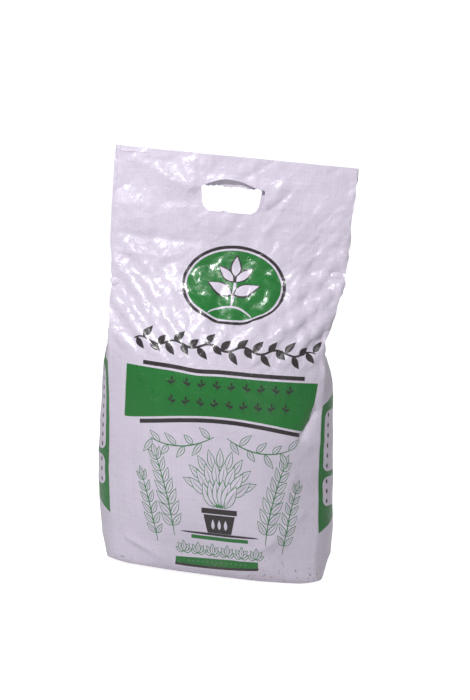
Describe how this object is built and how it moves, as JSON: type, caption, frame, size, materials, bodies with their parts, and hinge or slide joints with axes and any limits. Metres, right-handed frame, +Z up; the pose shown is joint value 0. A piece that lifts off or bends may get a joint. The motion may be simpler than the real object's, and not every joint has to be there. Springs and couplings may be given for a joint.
{
  "type": "compost bag",
  "caption": "Filled gusseted woven sack with a die-cut carrying slot in its flat top, a bulging body and a sewn flat base that it stands on.",
  "frame": {"origin": "middle of the flat base, on the floor", "axes": "+Z up towards the mouth, -Y towards the printed front, +X to the right as seen from the front"},
  "size_m": [0.35, 0.19, 0.605],
  "materials": {
    "bag": "white woven polypropylene tape under a clear glossy film, with green print",
    "needle_thread": "matt spun thread",
    "looper_thread": "matt spun thread"
  },
  "bodies": {
    "root": {"bag": "bag", "needle_thread": "needle_thread", "looper_thread": "looper_thread"}
  },
  "joints": []
}
